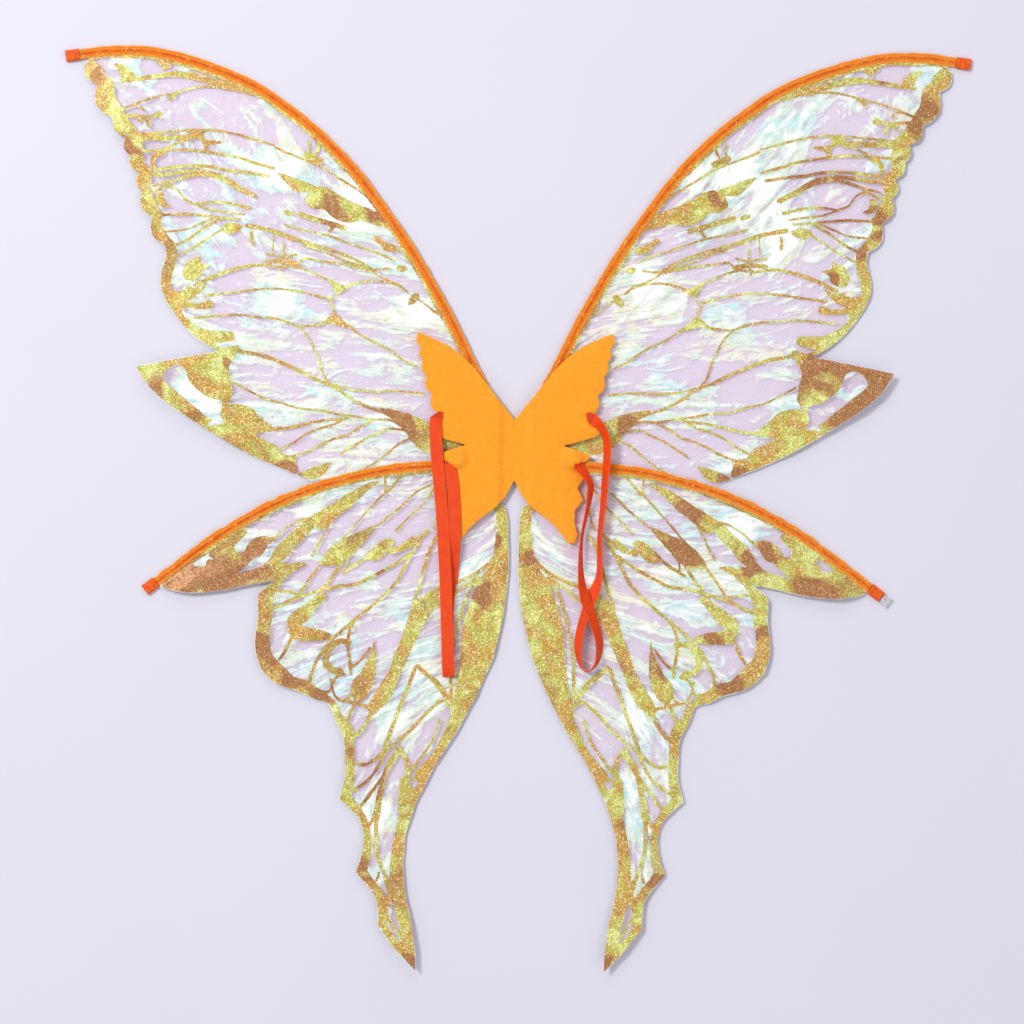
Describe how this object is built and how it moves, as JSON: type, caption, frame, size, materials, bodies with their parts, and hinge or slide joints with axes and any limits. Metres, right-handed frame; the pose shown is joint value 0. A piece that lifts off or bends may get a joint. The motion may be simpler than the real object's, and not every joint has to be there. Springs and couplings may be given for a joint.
{
  "type": "fairy wings",
  "caption": "Costume fairy wings: wire-framed translucent film wings with glitter veins, joined by a butterfly-shaped felt back pad with elastic shoulder loops.",
  "frame": {"origin": "on the surface that the wings lie on, under the middle of their outline; the pad's crease is 53 mm towards +Y", "axes": "+X towards the right wing as the wearer's side is looked at, +Y towards the upper wing tips, +Z out of the wearer's side"},
  "size_m": [0.815, 0.8294, 0.0187],
  "materials": {
    "felt": "matt needle felt",
    "iridescent_film": "clear iridescent film with printed glitter veins",
    "casing_ribbon": "sheer satin ribbon",
    "tab_ribbon": "satin ribbon",
    "elastic": "satin elastic",
    "lining_film": "cloudy clear film",
    "spring_wire": "drawn wire"
  },
  "bodies": {
    "spine": {"front_felt_centre": "felt", "rear_felt_centre": "felt"},
    "left_wing": {"upper_film_left": "iridescent_film", "upper_casing_left": "casing_ribbon", "upper_wire_left": "spring_wire", "upper_tip_tab_left": "tab_ribbon", "front_felt_upper_left": "felt", "rear_felt_upper_left": "felt"},
    "left_lower_wing": {"lower_film_left": "iridescent_film", "lower_casing_left": "casing_ribbon", "lower_wire_left": "spring_wire", "lower_tip_tab_left": "tab_ribbon", "front_felt_lower_left": "felt", "rear_felt_lower_left": "felt", "strap_left": "elastic"},
    "right_wing": {"upper_film_right": "iridescent_film", "upper_casing_right": "casing_ribbon", "upper_wire_right": "spring_wire", "upper_tip_tab_right": "tab_ribbon", "front_felt_upper_right": "felt", "rear_felt_upper_right": "felt"},
    "right_lower_wing": {"lower_film_right": "iridescent_film", "lower_casing_right": "casing_ribbon", "lower_wire_right": "spring_wire", "lower_tip_tab_right": "tab_ribbon", "front_felt_lower_right": "felt", "rear_felt_lower_right": "felt", "strap_right": "elastic", "lower_tip_lining_right": "lining_film"}
  },
  "joints": [
    {"name": "left_fold", "type": "hinge", "parent": "spine", "child": "left_wing", "pos_m": [-0.0076, 0.053, 0.00485], "axis": [0, 1, 0], "range_deg": [-70, 65]},
    {"name": "left_lower_bend", "type": "hinge", "parent": "left_wing", "child": "left_lower_wing", "pos_m": [-0.0076, 0.053, 0.00485], "axis": [0, 1, 0], "range_deg": [0, 20]},
    {"name": "right_fold", "type": "hinge", "parent": "spine", "child": "right_wing", "pos_m": [0.0076, 0.053, 0.00485], "axis": [0, -1, 0], "range_deg": [-70, 65]},
    {"name": "right_lower_bend", "type": "hinge", "parent": "right_wing", "child": "right_lower_wing", "pos_m": [0.0076, 0.053, 0.00485], "axis": [0, -1, 0], "range_deg": [0, 20]}
  ]
}
